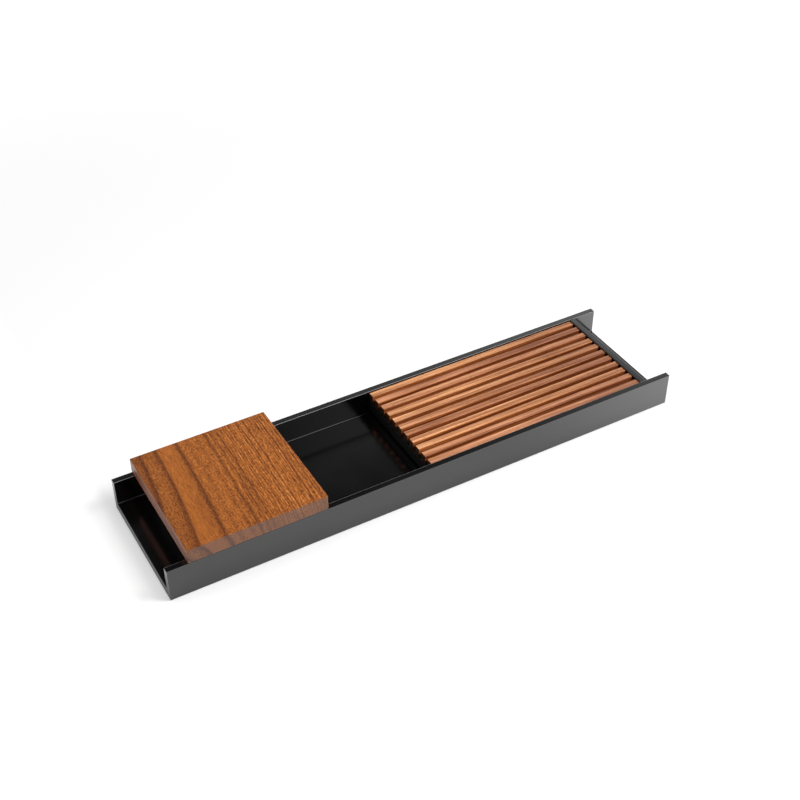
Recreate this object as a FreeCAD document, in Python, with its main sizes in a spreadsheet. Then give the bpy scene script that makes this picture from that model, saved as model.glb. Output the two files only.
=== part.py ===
import FreeCAD, Part
import math
import os

import Sketcher

# A long shallow desk tray, 400 mm long. A black U-channel with a cross wall near each end carries a
# walnut cover block that slides along the two side walls, and a loose rack of eleven walnut slats that
# holds cards and envelopes upright in the slots between them.
# Millimetres. Origin on the table under the middle of the tray, +X along the tray towards the slats,
# +Y to the rear, +Z up.

SIZES = {
    # channel
    "tray_length": 400.0,
    "tray_width": 98.6,
    "channel_height": 26.2,
    "wall_thickness": 4.5,
    "floor_thickness": 6.5,
    "inner_corner_round": 1.2,
    "rim_round": 0.5,
    "outer_round": 0.3,
    "end_chamfer": 0.2,
    # cross walls and the screws that hold them from below
    "end_recess": 19.2,
    "end_wall_thickness": 4.5,
    "end_screw_spacing": 60.0,
    "end_screw_length": 12.0,
    "end_screw_diameter": 2.5,
    "end_screw_head": 5.0,
    # foot pads, let into the underside of the floor
    "foot_diameter": 12.0,
    "foot_thickness": 1.9,
    "foot_proud": 0.4,
    "foot_spacing_along": 330.0,
    "foot_spacing_across": 70.0,
    # slat rack: slats, folded carrier, felt pads, screws
    "slat_count": 11.0,
    "slat_length": 179.0,
    "slat_width": 5.2,
    "slat_height": 8.3,
    "slat_pitch": 8.34,
    "slat_below_rim": 0.9,
    "slat_round": 0.4,
    "rack_end_gap": 0.5,
    "carrier_sheet": 1.5,
    "carrier_inset": 0.5,
    "carrier_side_gap": 0.5,
    "carrier_foot": 12.0,
    "bend_round": 0.8,
    "felt_thickness": 1.0,
    "felt_width": 9.0,
    "felt_length": 80.0,
    "slat_screw_inset": 20.0,
    "slat_screw_length": 6.0,
    "slat_screw_diameter": 2.2,
    "slat_screw_head": 3.8,
    # cover block with its glide strips, guide battens and screws
    "cover_length": 100.0,
    "cover_width": 99.4,
    "cover_thickness": 11.7,
    "cover_round": 0.7,
    "cover_start": 14.8,
    "glide_width": 3.0,
    "glide_length": 88.0,
    "glide_thickness": 1.0,
    "glide_proud": 0.2,
    "batten_width": 9.0,
    "batten_height": 5.0,
    "batten_side_gap": 0.35,
    "batten_stop_gap": 0.4,
    "batten_right_inset": 0.2,
    "batten_round": 0.6,
    "batten_screw_inset": 14.0,
    "batten_screw_length": 12.0,
    "batten_screw_diameter": 3.0,
    "batten_screw_head": 6.0,
    # every screw: hexagon socket as shares of the head, and the room left under its tip
    "socket_reach_share": 0.2,
    "socket_depth_share": 0.75,
    "hole_bottom_gap": 0.6,
    # play between a piece and the hole or recess it sits in
    "fit_play": 0.1,
}

doc = FreeCAD.newDocument("desk_tray")
sheet = doc.addObject("Spreadsheet::Sheet", "Sizes")
for row, (alias, value) in enumerate(SIZES.items(), start=1):
    sheet.set(f"A{row}", alias)
    sheet.set(f"B{row}", str(value))
    sheet.setAlias(f"B{row}", alias)
doc.recompute()

X_AXIS = FreeCAD.Vector(1, 0, 0)
Y_AXIS = FreeCAD.Vector(0, 1, 0)
Z_AXIS = FreeCAD.Vector(0, 0, 1)

# tolerances of the tests below, and the size at which a sketch starts before its constraints pull it
CLOSE = 0.02
PARALLEL = 1e-6
SMALLEST_CUT = 0.01
SKETCH_START = 20.0

# heights above the table and places along the tray, as formulas on the sheet
FLOOR_TOP = "(foot_proud + floor_thickness)"
FELT_TOP = "(foot_proud + floor_thickness + felt_thickness)"
CARRIER_TOP = "(foot_proud + channel_height - slat_below_rim - slat_height)"
COVER_BASE = "(foot_proud + channel_height + glide_proud)"
END_WALL_X = "(tray_length / 2 - end_recess - end_wall_thickness / 2)"
RACK_X = "(tray_length / 2 - end_recess - end_wall_thickness - rack_end_gap - slat_length / 2)"
COVER_X = "(cover_start + cover_length / 2 - tray_length / 2)"
BATTEN_LEFT = "(end_recess + end_wall_thickness + batten_stop_gap - tray_length / 2)"
BATTEN_RIGHT = "(cover_start + cover_length - batten_right_inset - tray_length / 2)"
BATTEN_LENGTH = f"({BATTEN_RIGHT} - {BATTEN_LEFT})"
BATTEN_X = f"(({BATTEN_RIGHT} + {BATTEN_LEFT}) / 2)"
BATTEN_Y = "(tray_width / 2 - wall_thickness - batten_side_gap - batten_width / 2)"
GLIDE_Y = "(tray_width / 2 - wall_thickness / 2)"
FELT_X = "(slat_length / 2 - carrier_inset - carrier_foot / 2)"


# ---- helpers -------------------------------------------------------------------------------------

def on_sheet(formula):
    """Puts the sheet's name before every alias in a formula."""
    words = []
    word = ""
    for letter in formula + " ":
        if letter.isalnum() or letter == "_":
            word += letter
            continue
        words.append("Sizes." + word if word in SIZES else word)
        words.append(letter)
        word = ""
    return "".join(words).strip()


def bind(thing, prop, formula):
    thing.setExpression(prop, on_sheet(formula))


def new_body(label):
    body = doc.addObject("PartDesign::Body", label)
    body.Label = label
    return body


def place(piece, along="0", across="0", up="0"):
    bind(piece, "Placement.Base.x", along)
    bind(piece, "Placement.Base.y", across)
    bind(piece, "Placement.Base.z", up)


def new_sketch(body, name, plane="XY_Plane"):
    sketch = body.newObject("Sketcher::SketchObject", name)
    planes = [item for item in body.Origin.OriginFeatures if item.Role == plane]
    sketch.AttachmentSupport = [(planes[0], "")]
    sketch.MapMode = "FlatFace"
    return sketch


def pin_point(sketch, geometry, vertex, start, along, up):
    """Ties a point to the sketch's origin by its two distances."""
    for kind, value, formula in (("DistanceX", start.x, along), ("DistanceY", start.y, up)):
        number = sketch.addConstraint(Sketcher.Constraint(kind, -1, 1, geometry, vertex, value))
        bind(sketch, f"Constraints[{number}]", formula)


def outline(sketch, points):
    """A closed outline of straight lines through points given as pairs of formulas."""
    count = len(points)
    turn = 2 * math.pi / count
    ring = [FreeCAD.Vector(math.cos(turn * i), math.sin(turn * i), 0) * SKETCH_START for i in range(count)]
    lines = [sketch.addGeometry(Part.LineSegment(ring[i], ring[(i + 1) % count])) for i in range(count)]
    for i, line in enumerate(lines):
        sketch.addConstraint(Sketcher.Constraint("Coincident", line, 2, lines[(i + 1) % count], 1))
    for line, start, (along, up) in zip(lines, ring, points):
        pin_point(sketch, line, 1, start, along, up)


def rectangle(sketch, length, width, across="0"):
    left, right = f"-({length}) / 2", f"({length}) / 2"
    front, rear = f"{across} - ({width}) / 2", f"{across} + ({width}) / 2"
    outline(sketch, [(left, front), (right, front), (right, rear), (left, rear)])


def circles(sketch, spots, diameter):
    for along, across in spots:
        start = FreeCAD.Vector(SKETCH_START, SKETCH_START, 0)
        geometry = sketch.addGeometry(Part.Circle(start, Z_AXIS, SKETCH_START))
        pin_point(sketch, geometry, 3, start, along, across)
        number = sketch.addConstraint(Sketcher.Constraint("Diameter", geometry, 2 * SKETCH_START))
        bind(sketch, f"Constraints[{number}]", diameter)


def pad(body, sketch, length, midplane=False):
    feature = body.newObject("PartDesign::Pad", sketch.Name + "_pad")
    feature.Profile = sketch
    feature.Midplane = midplane
    bind(feature, "Length", length)
    doc.recompute()


def pocket_up(body, sketch, depth):
    """Cuts upwards from the piece's underside, and makes sure that it removed something."""
    before = body.Shape.Volume
    feature = body.newObject("PartDesign::Pocket", sketch.Name + "_pocket")
    feature.Profile = sketch
    feature.Reversed = True
    bind(feature, "Length", depth)
    doc.recompute()
    if not feature.Shape.Volume < before - SMALLEST_CUT:
        raise RuntimeError(f"{feature.Name} cuts nothing")


def soften(body, name, kind, amount, test):
    """Rounds (Fillet) or bevels (Chamfer) those edges of the piece that pass the test."""
    feature = body.Tip
    edges = [f"Edge{i}" for i, edge in enumerate(feature.Shape.Edges, start=1) if test(edge)]
    if not edges:
        raise RuntimeError(f"no edges for {name}")
    result = body.newObject(f"PartDesign::{kind}", name)
    result.Base = (feature, edges)
    bind(result, "Radius" if kind == "Fillet" else "Size", amount)
    doc.recompute()


def runs_along(edge, axis):
    if edge.Curve.TypeId != "Part::GeomLine":
        return False
    return abs(abs(edge.tangentAt(edge.FirstParameter).dot(axis)) - 1) < PARALLEL


def at_height(edge, height):
    return abs(edge.BoundBox.ZMin - height) < CLOSE and abs(edge.BoundBox.ZMax - height) < CLOSE


def is_round(edge):
    return edge.Curve.TypeId == "Part::GeomCircle"


def block(label, length, width, height):
    """A rectangular piece standing on its own base plane."""
    body = new_body(label)
    sketch = new_sketch(body, label + "_outline")
    rectangle(sketch, length, width)
    pad(body, sketch, height)
    return body


def ease_top(body, amount):
    top = body.Tip.Shape.BoundBox.ZMax
    soften(body, body.Label + "_ease", "Fillet", amount, lambda edge: at_height(edge, top))


def screw_holes(body, name, spots, diameter, depth):
    sketch = new_sketch(body, name)
    circles(sketch, spots, f"{diameter} + fit_play")
    pocket_up(body, sketch, depth)


def sunk_holes(body, name, spots, diameter, head, depth, underside=0.0):
    """Screw holes right through, with a countersink on the underside."""
    screw_holes(body, name, spots, diameter, depth)
    radius = (SIZES[diameter] + SIZES["fit_play"]) / 2
    soften(body, name + "_sink", "Chamfer", f"({head} - {diameter}) / 2",
           lambda e: is_round(e) and at_height(e, underside) and abs(e.Curve.Radius - radius) < CLOSE)


def countersunk_screws(label, diameter, head, length, spots):
    """Screws standing head down, all in one node: cone head with hex socket, shank, pointed tip."""
    pattern = new_body(label + "_pattern")
    profile = new_sketch(pattern, label + "_profile", "XZ_Plane")
    cone = f"(({head} - {diameter}) / 2)"
    outline(profile, [
        ("0", "0"),
        (f"{head} / 2", "0"),
        (f"{diameter} / 2", cone),
        (f"{diameter} / 2", f"{length} - {diameter} / 2"),
        (f"{diameter} / 4", length),
        ("0", length),
    ])
    turned = pattern.newObject("PartDesign::Revolution", label + "_turned")
    turned.Profile = profile
    turned.ReferenceAxis = (profile, ["V_Axis"])
    turned.Angle = 360
    doc.recompute()
    socket = new_sketch(pattern, label + "_socket")
    reach = f"{head} * socket_reach_share"
    turns = [f"{i} * 360 deg / 6" for i in range(6)]
    outline(socket, [(f"{reach} * cos({turn})", f"{reach} * sin({turn})") for turn in turns])
    pocket_up(pattern, socket, f"{cone} * socket_depth_share")
    copies = []
    for i, (along, across, up) in enumerate(spots, start=1):
        copy = doc.addObject("App::Link", f"{label}_{i}")
        copy.LinkedObject = pattern
        place(copy, along, across, up)
        copies.append(copy)
    group = doc.addObject("Part::Compound", label)
    group.Links = copies
    group.Label = label
    doc.recompute()
    return group


def corners(along, across):
    """The four corner spots of a rectangle round the origin."""
    return [(f"{sx}{along} / 2", f"{sy}{across} / 2") for sx in ("-", "") for sy in ("-", "")]


pieces = []

# ---- channel: one U profile, walls and floor in one, with recesses for pads and screws ------------

channel = new_body("tray_channel")
profile = new_sketch(channel, "channel_profile", "YZ_Plane")
outer = "tray_width / 2"
inner = "(tray_width / 2 - wall_thickness)"
outline(profile, [
    (f"-{outer}", "0"),
    (outer, "0"),
    (outer, "channel_height"),
    (inner, "channel_height"),
    (inner, "floor_thickness"),
    (f"-{inner}", "floor_thickness"),
    (f"-{inner}", "channel_height"),
    (f"-{outer}", "channel_height"),
])
pad(channel, profile, "tray_length", midplane=True)
floor_height = SIZES["floor_thickness"]
outer_y = SIZES["tray_width"] / 2
end_x = SIZES["tray_length"] / 2


def on_outside(edge):
    return runs_along(edge, X_AXIS) and abs(edge.BoundBox.YMin) > outer_y - CLOSE


def on_inside(edge):
    return runs_along(edge, X_AXIS) and not on_outside(edge)


soften(channel, "floor_corners", "Fillet", "inner_corner_round",
       lambda e: on_inside(e) and at_height(e, floor_height))
soften(channel, "rim_inside", "Fillet", "rim_round",
       lambda e: on_inside(e) and at_height(e, SIZES["channel_height"]))
soften(channel, "rim_outside", "Fillet", "outer_round", on_outside)
soften(channel, "end_edges", "Chamfer", "end_chamfer",
       lambda e: abs(e.BoundBox.XMin) > end_x - CLOSE and e.BoundBox.XLength < CLOSE)
foot_spots = corners("foot_spacing_along", "foot_spacing_across")
foot_recesses = new_sketch(channel, "foot_recesses")
circles(foot_recesses, foot_spots, "foot_diameter + fit_play")
pocket_up(channel, foot_recesses, "foot_thickness - foot_proud")
end_spots = corners(f"2 * {END_WALL_X}", "end_screw_spacing")
sunk_holes(channel, "end_screw_holes", end_spots, "end_screw_diameter", "end_screw_head", "floor_thickness")
place(channel, up="foot_proud")
pieces.append(channel)

# ---- cross walls: bars between the side walls, corners rounded to clear the channel's -------------

for name, side in (("left", "-"), ("right", "")):
    wall = block(f"end_wall_{name}", "end_wall_thickness", "tray_width - 2 * wall_thickness",
                 "channel_height - floor_thickness")
    soften(wall, f"end_wall_{name}_corners", "Fillet", "inner_corner_round + fit_play",
           lambda e: runs_along(e, X_AXIS) and at_height(e, 0))
    wall_top = SIZES["channel_height"] - SIZES["floor_thickness"]
    soften(wall, f"end_wall_{name}_rim", "Fillet", "rim_round",
           lambda e: runs_along(e, Y_AXIS) and at_height(e, wall_top))
    wall_spots = [("0", "-end_screw_spacing / 2"), ("0", "end_screw_spacing / 2")]
    screw_holes(wall, f"end_wall_{name}_holes", wall_spots, "end_screw_diameter",
                "end_screw_length - floor_thickness + hole_bottom_gap")
    place(wall, f"{side}{END_WALL_X}", "0", FLOOR_TOP)
    pieces.append(wall)

pieces.append(countersunk_screws(
    "end_wall_screws", "end_screw_diameter", "end_screw_head", "end_screw_length",
    [(along, across, "foot_proud") for along, across in end_spots]))

# ---- foot pads ------------------------------------------------------------------------------------

for number, (along, across) in enumerate(foot_spots, start=1):
    foot = new_body(f"foot_pad_{number}")
    disc = new_sketch(foot, f"foot_disc_{number}")
    circles(disc, [("0", "0")], "foot_diameter")
    pad(foot, disc, "foot_thickness")
    soften(foot, f"foot_edge_{number}", "Fillet", "outer_round", lambda e: is_round(e) and at_height(e, 0))
    place(foot, along, across)
    pieces.append(foot)

# ---- rack: folded carrier on two felt pads, eleven slats screwed on from below --------------------

half = "(slat_length / 2 - carrier_inset)"
tall = "(channel_height - slat_below_rim - slat_height - floor_thickness - felt_thickness)"
carrier = new_body("rack_carrier")
fold = new_sketch(carrier, "carrier_fold", "XZ_Plane")
outline(fold, [
    (f"-{half}", "0"),
    (f"-{half} + carrier_foot", "0"),
    (f"-{half} + carrier_foot", "carrier_sheet"),
    (f"-{half} + carrier_sheet", "carrier_sheet"),
    (f"-{half} + carrier_sheet", f"{tall} - carrier_sheet"),
    (f"{half} - carrier_sheet", f"{tall} - carrier_sheet"),
    (f"{half} - carrier_sheet", "carrier_sheet"),
    (f"{half} - carrier_foot", "carrier_sheet"),
    (f"{half} - carrier_foot", "0"),
    (half, "0"),
    (half, tall),
    (f"-{half}", tall),
])
pad(carrier, fold, "tray_width - 2 * wall_thickness - 2 * carrier_side_gap", midplane=True)
carrier_end = SIZES["slat_length"] / 2 - SIZES["carrier_inset"]
inner_bend = carrier_end - SIZES["carrier_sheet"]
soften(carrier, "inner_bends", "Fillet", "bend_round",
       lambda e: runs_along(e, Y_AXIS) and abs(abs(e.BoundBox.XMin) - inner_bend) < CLOSE)
soften(carrier, "outer_bends", "Fillet", "bend_round + carrier_sheet",
       lambda e: runs_along(e, Y_AXIS) and abs(abs(e.BoundBox.XMin) - carrier_end) < CLOSE)
slat_count = int(SIZES["slat_count"])
slat_rows = [f"({i} - (slat_count - 1) / 2) * slat_pitch" for i in range(slat_count)]
screw_reach = "(slat_length / 2 - slat_screw_inset)"
slat_spots = [(f"{side}{screw_reach}", across) for across in slat_rows for side in ("-", "")]
plate_under = SIZES["channel_height"] - SIZES["slat_below_rim"] - SIZES["slat_height"]
plate_under -= SIZES["floor_thickness"] + SIZES["felt_thickness"] + SIZES["carrier_sheet"]
sunk_holes(carrier, "slat_screw_holes", slat_spots, "slat_screw_diameter", "slat_screw_head", tall,
           plate_under)
place(carrier, RACK_X, "0", FELT_TOP)
pieces.append(carrier)

for name, side in (("left", "-"), ("right", "+")):
    felt = block(f"rack_felt_{name}", "felt_width", "felt_length", "felt_thickness")
    place(felt, f"{RACK_X} {side} {FELT_X}", "0", FLOOR_TOP)
    pieces.append(felt)

for number, across in enumerate(slat_rows, start=1):
    slat = block(f"rack_slat_{number:02d}", "slat_length", "slat_width", "slat_height")
    ease_top(slat, "slat_round")
    under_spots = [(f"-{screw_reach}", "0"), (screw_reach, "0")]
    screw_holes(slat, f"slat_holes_{number:02d}", under_spots, "slat_screw_diameter",
                "slat_screw_length - carrier_sheet + hole_bottom_gap")
    place(slat, RACK_X, across, CARRIER_TOP)
    pieces.append(slat)

pieces.append(countersunk_screws(
    "rack_screws", "slat_screw_diameter", "slat_screw_head", "slat_screw_length",
    [(f"{RACK_X} + {along}", across, f"{CARRIER_TOP} - carrier_sheet") for along, across in slat_spots]))

# ---- cover: block on two glide strips, two battens under it that run between the walls ------------

cover = block("cover_block", "cover_length", "cover_width", "cover_thickness")
for name, side in (("front", "-"), ("rear", "")):
    groove = new_sketch(cover, f"glide_groove_{name}")
    rectangle(groove, "glide_length + 2 * fit_play", "glide_width + 2 * fit_play", f"{side}{GLIDE_Y}")
    pocket_up(cover, groove, "glide_thickness - glide_proud")
cover_half_x = SIZES["cover_length"] / 2
cover_half_y = SIZES["cover_width"] / 2


def on_cover_outline(edge):
    """True for the twelve outer edges of the block, not for those of the grooves."""
    box = edge.BoundBox
    hits = [
        min(abs(box.XMin - x) + abs(box.XMax - x) for x in (-cover_half_x, cover_half_x)) < CLOSE,
        min(abs(box.YMin - y) + abs(box.YMax - y) for y in (-cover_half_y, cover_half_y)) < CLOSE,
        at_height(edge, 0) or at_height(edge, SIZES["cover_thickness"]),
    ]
    return sum(hits) == 2


soften(cover, "cover_ease", "Fillet", "cover_round", on_cover_outline)
batten_offset = f"({BATTEN_X} - {COVER_X})"
batten_reach = f"({BATTEN_LENGTH} / 2 - batten_screw_inset)"
batten_along = [f"(-{batten_reach})", batten_reach]
cover_spots = [(f"{batten_offset} + {along}", f"{side}{BATTEN_Y}")
               for along in batten_along for side in ("-", "")]
screw_holes(cover, "cover_screw_holes", cover_spots, "batten_screw_diameter",
            "batten_screw_length - batten_height + hole_bottom_gap")
place(cover, COVER_X, "0", COVER_BASE)
pieces.append(cover)

for name, side in (("front", "-"), ("rear", "")):
    batten = block(f"cover_batten_{name}", BATTEN_LENGTH, "batten_width", "batten_height")
    soften(batten, f"batten_ease_{name}", "Fillet", "batten_round", lambda e: at_height(e, 0))
    sunk_holes(batten, f"batten_holes_{name}", [(along, "0") for along in batten_along],
               "batten_screw_diameter", "batten_screw_head", "batten_height")
    place(batten, BATTEN_X, f"{side}{BATTEN_Y}", f"{COVER_BASE} - batten_height")
    pieces.append(batten)

for name, side in (("front", "-"), ("rear", "")):
    glide = block(f"cover_glide_{name}", "glide_length", "glide_width", "glide_thickness")
    place(glide, COVER_X, f"{side}{GLIDE_Y}", "foot_proud + channel_height")
    pieces.append(glide)

pieces.append(countersunk_screws(
    "cover_screws", "batten_screw_diameter", "batten_screw_head", "batten_screw_length",
    [(f"{BATTEN_X} + {along}", f"{side}{BATTEN_Y}", f"{COVER_BASE} - batten_height")
     for along in batten_along for side in ("-", "")]))

# ---- checks and export ----------------------------------------------------------------------------

doc.recompute()
for item in doc.Objects:
    if "Invalid" in item.State or "Error" in item.State:
        raise RuntimeError(f"{item.Label} did not compute: {item.State}")
for piece in pieces:
    if piece.Shape.isNull() or not piece.Shape.isValid():
        raise RuntimeError(f"{piece.Label} has a bad shape")

os.makedirs("parts", exist_ok=True)
for piece in pieces:
    piece.Shape.exportStep(f"parts/{piece.Label}.step")
    box = piece.Shape.BoundBox
    print(f"{piece.Label:20s} solids {len(piece.Shape.Solids):3d}  volume {piece.Shape.Volume:10.1f}"
          f"  x {box.XMin:8.2f} {box.XMax:8.2f}  y {box.YMin:7.2f} {box.YMax:7.2f}"
          f"  z {box.ZMin:6.2f} {box.ZMax:6.2f}")
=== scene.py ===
import math

import bpy
from mathutils import Matrix, Vector


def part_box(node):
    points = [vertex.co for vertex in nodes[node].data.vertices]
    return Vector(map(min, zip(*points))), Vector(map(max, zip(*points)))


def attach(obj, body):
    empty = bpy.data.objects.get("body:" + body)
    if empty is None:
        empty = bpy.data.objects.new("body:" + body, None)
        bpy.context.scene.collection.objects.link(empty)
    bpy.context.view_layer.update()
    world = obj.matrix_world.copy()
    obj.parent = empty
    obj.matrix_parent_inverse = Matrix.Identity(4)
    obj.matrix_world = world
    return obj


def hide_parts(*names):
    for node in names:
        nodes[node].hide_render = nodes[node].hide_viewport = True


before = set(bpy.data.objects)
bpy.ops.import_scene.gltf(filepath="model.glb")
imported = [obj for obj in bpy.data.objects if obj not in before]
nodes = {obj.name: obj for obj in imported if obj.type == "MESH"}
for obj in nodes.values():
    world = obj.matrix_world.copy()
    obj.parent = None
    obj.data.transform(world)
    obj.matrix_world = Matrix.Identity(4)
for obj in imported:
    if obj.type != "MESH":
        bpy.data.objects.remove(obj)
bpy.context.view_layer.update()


# Channel and cross walls
# One black-coated aluminium profile, floor and two side walls in a single piece, with a bar of the same
# metal screwed in near each end. The coat is a thin satin film, nearly black, with a clear soft gloss; a
# pale line painted along the walls' inner top edges is a painted highlight.

class Wire:
    """A socket of a node tree that can be used in sums, and the maker of every other node."""

    def __init__(self, tree, socket=None):
        self.tree = tree
        self.socket = socket

    def node(self, kind, settings=None, inputs=None, out=0):
        made = self.tree.nodes.new(kind)
        for name, value in (settings or {}).items():
            if name == "stops":
                self.set_stops(made.color_ramp.elements, value)
            else:
                setattr(made, name, value)
        for key, value in (inputs or {}).items():
            if isinstance(value, Wire):
                self.tree.links.new(value.socket, made.inputs[key])
            else:
                made.inputs[key].default_value = value
        return Wire(self.tree, made.outputs[out])

    @staticmethod
    def set_stops(ramp, stops):
        while len(ramp) < len(stops):
            ramp.new(1.0)
        for element, (place, colour) in zip(ramp, stops):
            element.position = place
            element.color = (*colour, 1.0)

    def sum(self, operation, first, second=0.0):
        return self.node("ShaderNodeMath", {"operation": operation}, {0: first, 1: second})

    def __add__(self, other):
        return self.sum("ADD", self, other)

    def __radd__(self, other):
        return self.sum("ADD", other, self)

    def __sub__(self, other):
        return self.sum("SUBTRACT", self, other)

    def __rsub__(self, other):
        return self.sum("SUBTRACT", other, self)

    def __mul__(self, other):
        return self.sum("MULTIPLY", self, other)

    def __rmul__(self, other):
        return self.sum("MULTIPLY", other, self)

    def __pow__(self, other):
        return self.sum("POWER", self, other)

    def __abs__(self):
        return self.sum("ABSOLUTE", self)

    def ease(self, low, high):
        """0 below low, 1 above high, smooth between; falling instead when low is above high."""
        return self.node("ShaderNodeMapRange", {"interpolation_type": "SMOOTHSTEP"},
                         {"Value": self, "From Min": low, "From Max": high})

    def mix(self, first, second, blend="MIX"):
        """From the first colour to the second, by this share."""
        return self.node("ShaderNodeMix", {"data_type": "RGBA", "blend_type": blend},
                         {0: self, 6: first, 7: second}, 2)

    def tint(self, share, colour):
        """This colour, multiplied by another as far as the share says."""
        return share.mix(self, colour, "MULTIPLY")

    def ramp(self, stops):
        """The colour that these stops give at this value."""
        return self.node("ShaderNodeValToRGB", {"stops": stops}, {"Fac": self})

    def noise(self, lumps, detail=2.0, roughness=0.5):
        """Noise over this place, with so many lumps a millimetre along each axis."""
        stretched = self.node("ShaderNodeVectorMath", {"operation": "MULTIPLY"}, {0: self, 1: lumps})
        return self.node("ShaderNodeTexNoise", None, {
            "Vector": stretched, "Scale": 1.0, "Detail": detail, "Roughness": roughness})

    def part(self, axis):
        return self.node("ShaderNodeSeparateXYZ", None, {0: self}, axis)

    def bump(self, strength, distance):
        return self.node("ShaderNodeBump", None,
                         {"Strength": strength, "Distance": distance, "Height": self})


def start_material(name):
    """A fresh material, its Principled shader and a Wire to grow nodes from."""
    material = bpy.data.materials.new(name)
    material.use_nodes = True
    tree = material.node_tree
    return material, tree.nodes["Principled BSDF"], Wire(tree)


def feed(shader, **inputs):
    """Sets or links the shader's own sockets."""
    for name, value in inputs.items():
        socket = shader.inputs[name.replace("_", " ")]
        if isinstance(value, Wire):
            value.tree.links.new(value.socket, socket)
        else:
            socket.default_value = value


def millimetres(start, centre=(0, 0, 0), turn=0.0):
    """Places on the piece in millimetres from a centre, turned about the upright axis."""
    where = start.node("ShaderNodeTexCoord", out="Object")
    to_mm = 1000.0
    shift = Matrix.Rotation(turn, 3, "Z") @ (Vector(centre) * -to_mm)
    return start.node("ShaderNodeMapping", None, {
        "Vector": where, "Location": shift, "Rotation": (0, 0, turn), "Scale": (to_mm, to_mm, to_mm)})


def dress(names, material):
    for name in names:
        data = nodes[name].data
        data.materials.clear()
        data.materials.append(material)


def coated_metal():
    black = (0.0015, 0.0015, 0.0016, 1)
    painted_highlight_grey = (0.24, 0.24, 0.25, 1)
    highlight_from, highlight_to = (44.70, 44.78), (45.16, 45.08)  # millimetres from the tray's middle line
    highlight_above = (26.22, 26.32)  # millimetres above the table

    material, shader, start = start_material("black_coat")
    place = millimetres(start)
    orange_peel = place.noise((1.4, 1.4, 1.4), detail=3.0)
    cloud = place.noise((0.04, 0.04, 0.04))
    from_middle = abs(place.part("Y"))
    # painted highlight: a pale band along the walls' inner top edges stands in for light caught by their
    # rounded edges
    edge = from_middle.ease(*highlight_from) * from_middle.ease(*highlight_to) * place.part("Z").ease(*highlight_above)
    feed(shader, Base_Color=edge.mix(black, painted_highlight_grey), IOR=2.0,
         Roughness=0.11 + 0.05 * cloud + 0.03 * orange_peel,
         Normal=orange_peel.bump(strength=0.04, distance=0.0001))
    return material


dress(["tray_channel", "end_wall_left", "end_wall_right"], coated_metal())


# Rack carrier
# A steel sheet folded along both ends so that it stands on two feet. Its black paint is dull, because
# the slats cover it.

def dull_paint():
    material, shader, start = start_material("dull_paint")
    dust = millimetres(start).noise((1.8, 1.8, 1.8), detail=4.0)
    tones = dust.ramp([(0.35, (0.0025, 0.0025, 0.0026)), (0.7, (0.0045, 0.0045, 0.0047))])
    feed(shader, Base_Color=tones, Specular_IOR_Level=0.3, Roughness=0.55 + 0.15 * dust,
         Normal=dust.bump(strength=0.15, distance=0.0001))
    return material


dress(["rack_carrier"], dull_paint())


# Foot pads
# Four discs of black rubber, stuck into round recesses in the floor's underside so that only their
# lowest edge stands out.

def soft_rubber():
    material, shader, start = start_material("foot_rubber")
    speckle = millimetres(start).noise((3.0, 3.0, 3.0), detail=4.0)
    tones = speckle.ramp([(0.35, (0.016, 0.016, 0.017)), (0.75, (0.034, 0.034, 0.036))])
    feed(shader, Base_Color=tones, Roughness=0.72 + 0.12 * speckle,
         Normal=speckle.bump(strength=0.25, distance=0.0002))
    return material


dress([f"foot_pad_{number}" for number in range(1, 5)], soft_rubber())


# Countersunk screws
# Blackened steel with a hexagon socket, driven from below: four through the channel floor into the
# cross walls, two into each slat, and two through each batten into the cover block. Each set is one
# mesh grown on a grid of points.

def blackened_steel():
    material, shader, start = start_material("blackened_steel")
    turning = millimetres(start).noise((2.0, 2.0, 14.0))
    feed(shader, Base_Color=(0.045, 0.044, 0.043, 1), Metallic=1.0, Roughness=0.32 + 0.16 * turning,
         Normal=turning.bump(strength=0.08, distance=0.0001))
    return material


def screw_mesh(head, shank, length, sides=24):
    """One screw, head down at the origin: socket, flat head, cone, shank and pointed tip, all rings."""
    def round_ring(radius, height):
        turns = [math.tau * i / sides for i in range(sides)]
        return [(radius * math.cos(t), radius * math.sin(t), height) for t in turns]

    def socket_ring(reach, height):
        """The same number of points, spread along a hexagon."""
        ring = []
        flats = 6
        per_flat = sides // flats
        for i in range(sides):
            corner, step = divmod(i, per_flat)
            a = math.tau * corner / flats
            b = math.tau * (corner + 1) / flats
            t = step / per_flat
            ring.append((reach * (math.cos(a) * (1 - t) + math.cos(b) * t),
                         reach * (math.sin(a) * (1 - t) + math.sin(b) * t), height))
        return ring

    cone = (head - shank) / 2
    socket_depth = cone * 0.75
    socket_reach = head * 0.2
    edge = head * 0.02
    rings = [
        socket_ring(socket_reach, socket_depth),
        socket_ring(socket_reach, edge),
        socket_ring(socket_reach + edge, 0),
        round_ring(head / 2 - edge, 0),
        round_ring(head / 2, edge),
        round_ring(shank / 2, cone),
        round_ring(shank / 2, length - shank / 2),
        round_ring(shank / 4, length),
    ]
    points = [point for ring in rings for point in ring]
    faces = [tuple(range(sides))]
    for low in range(len(rings) - 1):
        for i in range(sides):
            j = (i + 1) % sides
            faces.append((low * sides + j, low * sides + i, (low + 1) * sides + i, (low + 1) * sides + j))
    faces.append(tuple(reversed(range((len(rings) - 1) * sides, len(rings) * sides))))
    faces = [tuple(reversed(face)) for face in faces]
    mesh = bpy.data.meshes.new("screw")
    mesh.from_pydata(points, [], faces)
    return mesh


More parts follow.
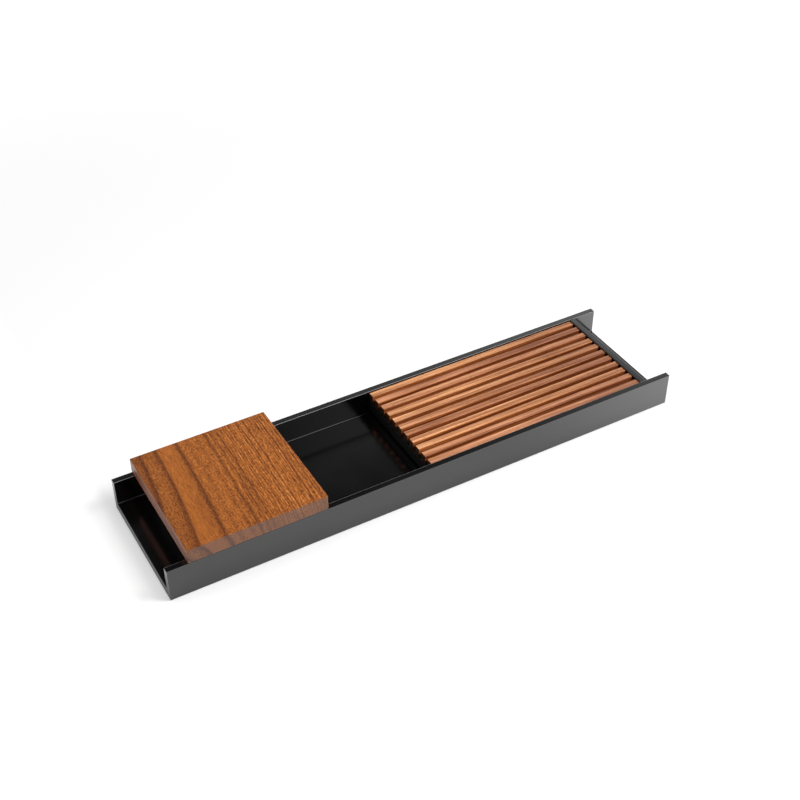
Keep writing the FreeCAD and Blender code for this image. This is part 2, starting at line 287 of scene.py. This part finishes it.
def new_tree(name, inputs):
    """A geometry tree with these named inputs, a Wire for each, and its output node."""
    tree = bpy.data.node_groups.new(name, "GeometryNodeTree")
    tree.interface.new_socket("Geometry", in_out="OUTPUT", socket_type="NodeSocketGeometry")
    for label, kind in inputs.items():
        tree.interface.new_socket(label, in_out="INPUT", socket_type=f"NodeSocket{kind}")
    given = tree.nodes.new("NodeGroupInput")
    wires = {label: Wire(tree, given.outputs[label]) for label in inputs}
    return tree, wires, tree.nodes.new("NodeGroupOutput")


def grow(name, tree, values):
    """Runs a geometry tree with these values and keeps the result as a plain mesh."""
    piece = bpy.data.objects.new(name, bpy.data.meshes.new(name + "_seed"))
    bpy.context.collection.objects.link(piece)
    modifier = piece.modifiers.new(name, "NODES")
    modifier.node_group = tree
    for item in tree.interface.items_tree:
        if item.in_out == "INPUT":
            modifier[item.identifier] = values[item.name]
    graph = bpy.context.evaluated_depsgraph_get()
    mesh = bpy.data.meshes.new_from_object(
        piece.evaluated_get(graph), preserve_all_data_layers=True, depsgraph=graph)
    piece.modifiers.clear()
    piece.data = mesh
    mesh.name = name
    return piece


def shade_smooth(piece, sharp_above):
    piece.data.polygons.foreach_set("use_smooth", [True] * len(piece.data.polygons))
    piece.data.set_sharp_from_angle(angle=math.radians(sharp_above))


def screw_grid_tree():
    tree, given, result = new_tree("screws_on_a_grid", {
        "Screw": "Object", "Centre": "Vector", "Spread X": "Float", "Spread Y": "Float",
        "Columns": "Int", "Rows": "Int", "Material": "Material"})
    start = Wire(tree)
    grid = start.node("GeometryNodeMeshGrid", None, {
        "Size X": given["Spread X"], "Size Y": given["Spread Y"],
        "Vertices X": given["Columns"], "Vertices Y": given["Rows"]})
    placed = start.node("GeometryNodeTransform", None, {"Geometry": grid, "Translation": given["Centre"]})
    screw = start.node("GeometryNodeObjectInfo", None, {"Object": given["Screw"]}, "Geometry")
    copies = start.node("GeometryNodeInstanceOnPoints", None, {"Points": placed, "Instance": screw})
    real = start.node("GeometryNodeRealizeInstances", None, {"Geometry": copies})
    painted = start.node("GeometryNodeSetMaterial", None,
                         {"Geometry": real, "Material": given["Material"]})
    tree.links.new(painted.socket, result.inputs[0])
    return tree


screw_grid = screw_grid_tree()
steel = blackened_steel()


def screw_set(node, body, head, shank, length, columns, rows):
    """Screws that fill the box of their own node, heads at the bottom."""
    low, high = (Vector(corner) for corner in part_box(node))
    centre = (low + high) / 2
    centre.z = low.z
    spread_x, spread_y = high.x - low.x - head, high.y - low.y - head
    template = bpy.data.objects.new("screw_template", screw_mesh(head, shank, length))
    bpy.context.collection.objects.link(template)
    piece = grow(node + "_steel", screw_grid, {
        "Screw": template, "Centre": centre, "Spread X": spread_x, "Spread Y": spread_y,
        "Columns": columns, "Rows": rows, "Material": steel})
    bpy.data.objects.remove(template)
    shade_smooth(piece, sharp_above=35)
    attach(piece, body)
    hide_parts(node)


screw_set("end_wall_screws", "tray", head=0.0050, shank=0.0025, length=0.012, columns=2, rows=2)
screw_set("rack_screws", "rack", head=0.0038, shank=0.0022, length=0.006, columns=2, rows=11)
screw_set("cover_screws", "cover", head=0.0060, shank=0.0030, length=0.012, columns=2, rows=2)


# Felt under the rack
# Two strips of pressed black wool felt, glued to the carrier's feet so that the rack sits quietly.

def pressed_felt():
    material, shader, start = start_material("pressed_felt")
    fuzz = millimetres(start).noise((4.0, 4.0, 4.0), detail=6.0, roughness=0.7)
    tones = fuzz.ramp([(0.3, (0.012, 0.012, 0.013)), (0.7, (0.05, 0.05, 0.052))])
    feed(shader, Base_Color=tones, Roughness=0.95, Sheen_Weight=0.3,
         Normal=fuzz.bump(strength=0.7, distance=0.0003))
    return material


dress(["rack_felt_left", "rack_felt_right"], pressed_felt())


# Slats
# Eleven walnut sticks, planed square with softly broken edges and wiped with oil. They stand side by
# side on the carrier, each screwed from below, and leave a card's slot between neighbours.

def walnut(name, centre, turn, pith, lean, rings, tones, own_shift=None):
    """Walnut as a solid block of growth rings round a pith that runs along local Y.

    pith is the ring centre across and below, and lean its drift per millimetre along the grain. rings
    gives, at each radius, how late the wood there grew: 0 is pale early wood, 1 is dark late wood.
    tones holds the colours, most of them factors on the colour below, and how deep each layer goes.
    own_shift names the number, from 0 to 1, that tells the boards of a set apart.
    """
    boards_apart = (37.0, 900.0, 11.0)  # millimetres between the two boards cut furthest from each other
    wander_size, ripple_size = 2.4, 0.8  # millimetres by which the rings stray from round
    line_wobble = 0.6
    calm_share = 0.7
    streaks_at_pith = 0.6
    painted_foot_shade = (0.10, 0.08, 0.08, 1)
    end_rings, end_pores = 0.6, 0.5
    streak_relief, pore_relief = 0.35, 0.8
    streak_roughness, pore_roughness = 0.10, 0.18

    material, shader, start = start_material(name)
    place = millimetres(start, centre, turn)
    from_middle, from_centre = place.part("Y"), place.part("Z")
    if own_shift:
        own = start.node("ShaderNodeAttribute", {"attribute_name": own_shift}, out="Fac")
        place = place.node("ShaderNodeVectorMath", {"operation": "MULTIPLY_ADD"}, {
            0: place.node("ShaderNodeCombineXYZ", None, {0: own, 1: own, 2: own}),
            1: boards_apart, 2: place})
    across, along, up = place.part("X"), place.part("Y"), place.part("Z")

    def deepen(colour, noise, depth, reach):
        """Darkens the colour where the noise is high and brightens it where the noise is low."""
        even = 0.5
        colour = colour.tint(noise.ease(even, even + reach) * depth, tones["dark"])
        return colour.tint(noise.ease(even, even - reach) * depth, tones["bright"])

    wander = place.noise((0.035, 0.008, 0.035), detail=3.0)
    ripple = place.noise((0.25, 0.025, 0.25))
    sideways = across - pith[0]
    height = up - pith[1] - lean * along
    radius = (sideways ** 2.0 + height ** 2.0) ** 0.5
    radius = radius + wander_size * wander + ripple_size * ripple - (wander_size + ripple_size) / 2

    inner, outer = rings[0][0], rings[-1][0]
    share = (radius - inner) * (1.0 / (outer - inner))
    late_wood = share.ramp([((r - inner) / (outer - inner), (late, late, late)) for r, late in rings])
    colour = late_wood.mix(tones["early"], tones["late"])
    if own_shift:
        colour = colour.tint(own.ease(0.1, 0.95), tones["pale"])
    # painted shade: the tone darkens along the grain towards one end, standing in for light falling off
    # along the piece
    if "drift" in tones:
        colour = colour.tint(from_middle.ease(*tones["drift_reach"]), tones["drift"])

    # fine growth lines, stronger away from the pith
    line = start.node("ShaderNodeTexNoise", {"noise_dimensions": "1D"}, {
        "W": radius + line_wobble * ripple, "Scale": tones["line_rate"], "Detail": 1.5, "Roughness": 0.5})
    strength = radius.ease(*tones["line_reach"])
    colour = deepen(colour, line, depth=strength * tones["line_depth"], reach=0.15)

    # broad figure, short mottling that fades where a band is calm, and streaks drawn out along the grain
    cloud = place.noise((0.06, 0.012, 0.06), detail=3.0)
    colour = deepen(colour, cloud, depth=tones["cloud_depth"], reach=0.25)
    mottle_depth = tones["mottle_depth"]
    if "calm_from" in tones:
        calm = radius.ease(*tones["calm_from"]) * radius.ease(*tones["calm_to"])
        mottle_depth = (1 - calm * calm_share) * mottle_depth
    colour = deepen(colour, place.noise(tones["mottle"]), depth=mottle_depth, reach=0.12)
    streak = place.noise(tones["streak"], detail=3.0, roughness=0.6)
    streaks = streaks_at_pith + (1 - streaks_at_pith) * strength
    colour = deepen(colour, streak, depth=streaks * tones["streak_depth"], reach=0.14)
    pore = place.noise((1.9, 0.30, 1.9), detail=1.0, roughness=0.4).ease(0.62, 0.70)
    colour = colour.tint(pore * tones["pore_depth"], tones["pore"])

    # sides are deeper in tone than the top: partly the sawn faces' own tone, partly painted shade; they may
    # be waxed, and painted shade darkens the foot
    facing = start.node("ShaderNodeTexCoord", out="Normal")
    grain_runs = "X" if turn else "Y"
    end = abs(facing.part(grain_runs)).ease(0.55, 0.95)
    flank = facing.part("Z").ease(0.9, 0.4)
    colour = colour.tint(flank * (1 - end), tones["side"])
    # painted shade: darker towards the foot and on the underside, where little light reaches
    if "foot" in tones:
        colour = colour.tint(from_centre.ease(*tones["foot"]), painted_foot_shade)

    # end grain drinks more oil, and shows the late wood and dots for pores; the slats' near-black end
    # colour is partly their end grain's tone and partly painted shade
    colour = (end * tones["end_depth"]).mix(colour, tones["end"])
    colour = colour.tint(end * late_wood * end_rings, tones["dark"])
    colour = colour.tint(end * pore * end_pores, tones["pore"])

    relief = streak * streak_relief - pore * pore_relief
    feed(shader, Base_Color=colour, Specular_IOR_Level=0.35,
         Roughness=tones["gloss"] + streak_roughness * streak + pore_roughness * pore,
         Normal=relief.bump(strength=0.35, distance=0.00012))
    if "wax" in tones:
        feed(shader, Coat_Weight=flank * tones["wax"], Coat_Roughness=0.3)
    return material


def slats_tree():
    tree, given, result = new_tree("row_of_slats", {
        "Count": "Int", "Pitch": "Float", "Length": "Float", "Width": "Float", "Height": "Float",
        "Edge Radius": "Float", "Centre": "Vector", "Seed": "Int", "Material": "Material"})
    start = Wire(tree)
    section = start.node("GeometryNodeCurvePrimitiveQuadrilateral", None,
                         {"Width": given["Width"], "Height": given["Height"]})
    section = start.node("GeometryNodeFilletCurve", {"mode": "POLY"},
                         {"Curve": section, "Count": 4, "Radius": given["Edge Radius"]})
    half = given["Length"] * 0.5
    path = start.node("GeometryNodeCurvePrimitiveLine", None, {
        "Start": start.node("ShaderNodeCombineXYZ", None, {0: half * -1.0}),
        "End": start.node("ShaderNodeCombineXYZ", None, {0: half})})
    stick = start.node("GeometryNodeCurveToMesh", None,
                       {"Curve": path, "Profile Curve": section, "Fill Caps": True})
    first = (given["Count"] - 1.0) * given["Pitch"] * -0.5  # the row is centred
    row = start.node("GeometryNodeMeshLine", {"mode": "OFFSET"}, {
        "Count": given["Count"],
        "Start Location": start.node("ShaderNodeVectorMath", {"operation": "ADD"}, {
            0: given["Centre"], 1: start.node("ShaderNodeCombineXYZ", None, {1: first})}),
        "Offset": start.node("ShaderNodeCombineXYZ", None, {1: given["Pitch"]})})
    copies = start.node("GeometryNodeInstanceOnPoints", None, {"Points": row, "Instance": stick})
    own = start.node("FunctionNodeRandomValue", {"data_type": "FLOAT"}, {"Seed": given["Seed"]}, 1)
    marked = start.node("GeometryNodeStoreNamedAttribute", {"data_type": "FLOAT", "domain": "INSTANCE"},
                        {"Geometry": copies, "Name": "own_board", "Value": own})
    real = start.node("GeometryNodeRealizeInstances", None, {"Geometry": marked})
    painted = start.node("GeometryNodeSetMaterial", None,
                         {"Geometry": real, "Material": given["Material"]})
    tree.links.new(painted.socket, result.inputs[0])
    return tree


def break_edges(piece, width, sharp_above):
    """Rounds only the sharp edges."""
    bevel = piece.modifiers.new("broken_edges", "BEVEL")
    bevel.width = width
    bevel.segments = 2
    bevel.limit_method = "ANGLE"
    bevel.angle_limit = math.radians(sharp_above)
    graph = bpy.context.evaluated_depsgraph_get()
    mesh = bpy.data.meshes.new_from_object(
        piece.evaluated_get(graph), preserve_all_data_layers=True, depsgraph=graph)
    piece.modifiers.clear()
    piece.data = mesh


def middle(node):
    low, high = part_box(node)
    return (Vector(low) + Vector(high)) / 2


slat_names = [f"rack_slat_{number:02d}" for number in range(1, 12)]
slat_low = Vector(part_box(slat_names[0])[0])
slat_high = Vector(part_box(slat_names[0])[1])
slat_size = slat_high - slat_low
rack_centre = (middle(slat_names[0]) + middle(slat_names[-1])) / 2
slat_pitch = (middle(slat_names[-1]).y - middle(slat_names[0]).y) / (len(slat_names) - 1)

slat_walnut = walnut(
    "slat_walnut", centre=rack_centre, turn=math.pi / 2, pith=(-60.0, -95.0), lean=0.012,
    rings=[(60.0, 0.15), (85.0, 0.0), (96.0, 0.45), (100.0, 0.0), (118.0, 0.25), (150.0, 0.0)],
    tones={
        "early": (0.588, 0.250, 0.130, 1), "late": (0.383, 0.146, 0.068, 1),
        "dark": (0.55, 0.45, 0.38, 1), "bright": (1.40, 1.50, 1.50, 1), "pale": (1.24, 1.33, 1.20, 1),
        "line_rate": 0.5, "line_reach": (20.0, 60.0), "line_depth": 0.6, "cloud_depth": 0.35,
        "mottle": (0.8, 0.03, 0.8), "mottle_depth": 0.25,
        "streak": (1.2, 0.020, 1.2), "streak_depth": 0.7, "pore": (0.25, 0.20, 0.20, 1), "pore_depth": 0.4,
        # drift darkens the slats towards their right end: painted shade
        "drift": (0.55, 0.50, 0.50, 1), "drift_reach": (-90.0, 100.0),
        # side is partly painted shade; foot darkens the slats towards the bottom of their slots as painted
        # shade
        "side": (0.77, 0.49, 0.27, 1), "foot": (1.4, -0.8),
        # the slats' end colour is near black: partly end grain, partly painted shade
        "end": (0.020, 0.009, 0.006, 1), "end_depth": 0.97, "gloss": 0.42,
    },
    own_shift="own_board")

slats = grow("rack_slats", slats_tree(), {
    "Count": len(slat_names), "Pitch": slat_pitch, "Length": slat_size.x, "Width": slat_size.y,
    "Height": slat_size.z, "Edge Radius": 0.0004, "Centre": rack_centre, "Seed": 259,
    "Material": slat_walnut})
break_edges(slats, width=0.00025, sharp_above=50)
shade_smooth(slats, sharp_above=30)
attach(slats, "rack")
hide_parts(*slat_names)


# Cover block and battens
# A square walnut board with its grain across the tray, cut from beside the heart so that the rings rise
# through it in wide bands on the left and close stripes on the right. Two straight-grained battens are
# screwed under it and run between the side walls.

block_low, block_high = (Vector(corner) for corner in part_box("cover_block"))
block_corner = Vector((block_low.x, 0.0, block_high.z))
block_walnut = walnut(
    "block_walnut", centre=block_corner, turn=0.0, pith=(-13.8, -13.5), lean=0.18,
    rings=[
        (12.0, 0.5), (18.0, 0.5), (20.8, 0.95), (22.3, 0.30),
        (26.0, 0.22), (29.5, 0.45), (32.0, 0.85), (33.3, 0.10), (35.0, 0.0),
        (42.0, 0.0), (44.5, 0.20), (47.0, 0.90), (48.6, 0.25), (50.5, 0.05),
        (52.5, 0.08), (54.5, 0.38), (57.0, 0.08), (60.0, 0.05), (61.8, 0.35), (64.0, 0.0),
        (66.0, 0.10), (67.3, 0.75), (68.6, 0.08), (71.0, 0.05), (72.6, 0.45), (74.0, 0.15), (76.0, 0.40),
        (77.4, 0.05), (112.0, 0.12),
    ],
    tones={
        "early": (0.430, 0.130, 0.022, 1), "late": (0.100, 0.022, 0.004, 1),
        "dark": (0.47, 0.40, 0.38, 1), "bright": (1.32, 1.43, 1.62, 1),
        "line_rate": 0.75, "line_reach": (58.0, 80.0), "line_depth": 0.8, "cloud_depth": 0.35,
        "mottle": (0.9, 0.45, 0.9), "mottle_depth": 0.68,
        "calm_from": (31.5, 33.0), "calm_to": (46.0, 43.0),
        "streak": (1.5, 0.10, 1.5), "streak_depth": 1.0, "pore": (0.30, 0.25, 0.25, 1), "pore_depth": 0.5,
        # side is partly painted shade; foot darkens the block's lowest edge and underside as painted shade
        "side": (0.93, 0.76, 0.56, 1), "wax": 0.6, "foot": (-11.2, -11.7),
        "end": (0.215, 0.120, 0.082, 1), "end_depth": 0.48, "gloss": 0.46,
    })
dress(["cover_block"], block_walnut)

batten_walnut = walnut(
    "batten_walnut", centre=middle("cover_batten_front"), turn=math.pi / 2, pith=(-40.0, -60.0), lean=0.01,
    rings=[(50.0, 0.2), (70.0, 0.0), (76.0, 0.8), (80.0, 0.1), (110.0, 0.3)],
    tones={
        "early": (0.280, 0.115, 0.046, 1), "late": (0.150, 0.055, 0.021, 1),
        "dark": (0.55, 0.45, 0.40, 1), "bright": (1.30, 1.35, 1.35, 1),
        "line_rate": 0.5, "line_reach": (10.0, 40.0), "line_depth": 0.5, "cloud_depth": 0.4,
        "mottle": (1.2, 0.4, 1.2), "mottle_depth": 0.4,
        "streak": (1.5, 0.05, 1.5), "streak_depth": 0.5, "pore": (0.25, 0.20, 0.20, 1), "pore_depth": 0.4,
        "side": (0.8, 0.8, 0.8, 1),
        "end": (0.12, 0.055, 0.03, 1), "end_depth": 0.6, "gloss": 0.6,
    })
dress(["cover_batten_front", "cover_batten_rear"], batten_walnut)


# Glide strips
# Two black nylon strips pressed into grooves under the cover block. They stand a hair proud, and the
# block slides on them along the wall tops.

def drawn_nylon():
    material, shader, start = start_material("glide_nylon")
    drawn = millimetres(start).noise((0.15, 5.0, 5.0), detail=3.0)
    tones = drawn.ramp([(0.3, (0.018, 0.018, 0.019)), (0.7, (0.032, 0.032, 0.033))])
    feed(shader, Base_Color=tones, Roughness=0.42 + 0.12 * drawn,
         Normal=drawn.bump(strength=0.12, distance=0.0001))
    return material


dress(["cover_glide_front", "cover_glide_rear"], drawn_nylon())


# Floor, light and camera
# A seamless white table and backdrop, a broad soft lamp high on the right and a weaker, wider one nearly
# overhead, in a studio that is bright round the horizon and high in front on the right, but dark above.

def white_table():
    """White, with a glow that lifts it to plain white for the eye, and in the metal only left and right."""
    lift, more_on_the_left, more_far_off = 0.32, 0.12, 0.56

    material, shader, start = start_material("white_table")
    seen, mirrored, through = (start.node("ShaderNodeLightPath", out=f"Is {ray} Ray")
                               for ray in ("Camera", "Glossy", "Transmission"))
    place = start.node("ShaderNodeTexCoord", out="Object")
    x, y = place.part("X"), place.part("Y")
    right = x.ease(0.05, 0.32)
    left = x.ease(-0.202, -0.212)
    far = ((x ** 2.0 + y ** 2.0) ** 0.5).ease(0.35, 1.5)
    # painted light: past the tray's left end the table is lifted brighter, for the eye and in the metal,
    # and on the right it glows only in the metal as a painted reflection
    white = lift + more_on_the_left * left + more_far_off * far
    glow = (seen + through) * white + mirrored * (left + right)
    shade = start.node("ShaderNodeCombineColor", None, {"Red": glow, "Green": glow, "Blue": glow})
    feed(shader, Base_Color=(0.75, 0.75, 0.75, 1), Roughness=1.0, Specular_IOR_Level=0.0,
         Emission_Color=shade, Emission_Strength=1.0)
    return material


table_half = 6.0
table_mesh = bpy.data.meshes.new("table")
table_mesh.from_pydata(
    [(x * table_half, y * table_half, 0.0) for x, y in ((-1, -1), (1, -1), (1, 1), (-1, 1))],
    [], [(0, 1, 2, 3)])
table_mesh.materials.append(white_table())
table = bpy.data.objects.new("table", table_mesh)
bpy.context.collection.objects.link(table)


def studio():
    """Plain white for the eye. In the metal it is a room whose brightness changes with the direction."""
    dark_above = 0.015
    front_lamp = 1.2
    ambient = 0.16

    world = bpy.data.worlds.new("studio")
    bpy.context.scene.world = world
    world.use_nodes = True
    tree = world.node_tree
    start = Wire(tree)
    seen, mirrored, through = (start.node("ShaderNodeLightPath", out=f"Is {ray} Ray")
                               for ray in ("Camera", "Glossy", "Transmission"))
    direction = start.node("ShaderNodeTexCoord", out="Generated")
    horizon = direction.part("Z").ease(0.66, 0.552)
    front = direction.part("Y").ease(-0.25, -0.60) * direction.part("X").ease(0.25, 0.37)
    room = dark_above + horizon * (1 - dark_above) + front * (1 - horizon) * front_lamp
    plain = seen + through
    strength = plain + (1 - plain) * (mirrored * room + (1 - mirrored) * ambient)
    background = tree.nodes["Background"]
    background.inputs["Color"].default_value = (1, 1, 1, 1)
    tree.links.new(strength.socket, background.inputs["Strength"])


studio()


def soft_lamp(name, place, width, power):
    """A square lamp that points at the tray's middle and doesn't show in the metal."""
    data = bpy.data.lights.new(name, "AREA")
    data.shape = "SQUARE"
    data.size = width
    data.energy = power
    lamp = bpy.data.objects.new(name, data)
    lamp.location = place
    lamp.rotation_euler = (-Vector(place)).to_track_quat("-Z", "Y").to_euler()
    lamp.visible_glossy = False
    bpy.context.collection.objects.link(lamp)


soft_lamp("key_lamp", place=(1.1, -0.7, 1.5), width=0.8, power=30)
soft_lamp("fill_lamp", place=(-0.45, 0.0, 1.75), width=1.4, power=13)

view_data = bpy.data.cameras.new("camera")
view_data.sensor_width = 36.0
view_data.lens = 59.329
view_data.clip_start = 0.01
view_data.clip_end = 50.0
viewer = bpy.data.objects.new("camera", view_data)
viewer.location = (-0.35475, -0.61649, 0.63661)
looking = Vector((0.38245, 0.66971, -0.63657))
level = looking.to_track_quat("-Z", "Y").to_matrix()
roll = Matrix.Rotation(math.radians(-0.05), 3, "Z")
viewer.rotation_euler = (level @ roll).to_euler()
bpy.context.collection.objects.link(viewer)
bpy.context.scene.camera = viewer
bpy.context.scene.view_settings.view_transform = "Standard"
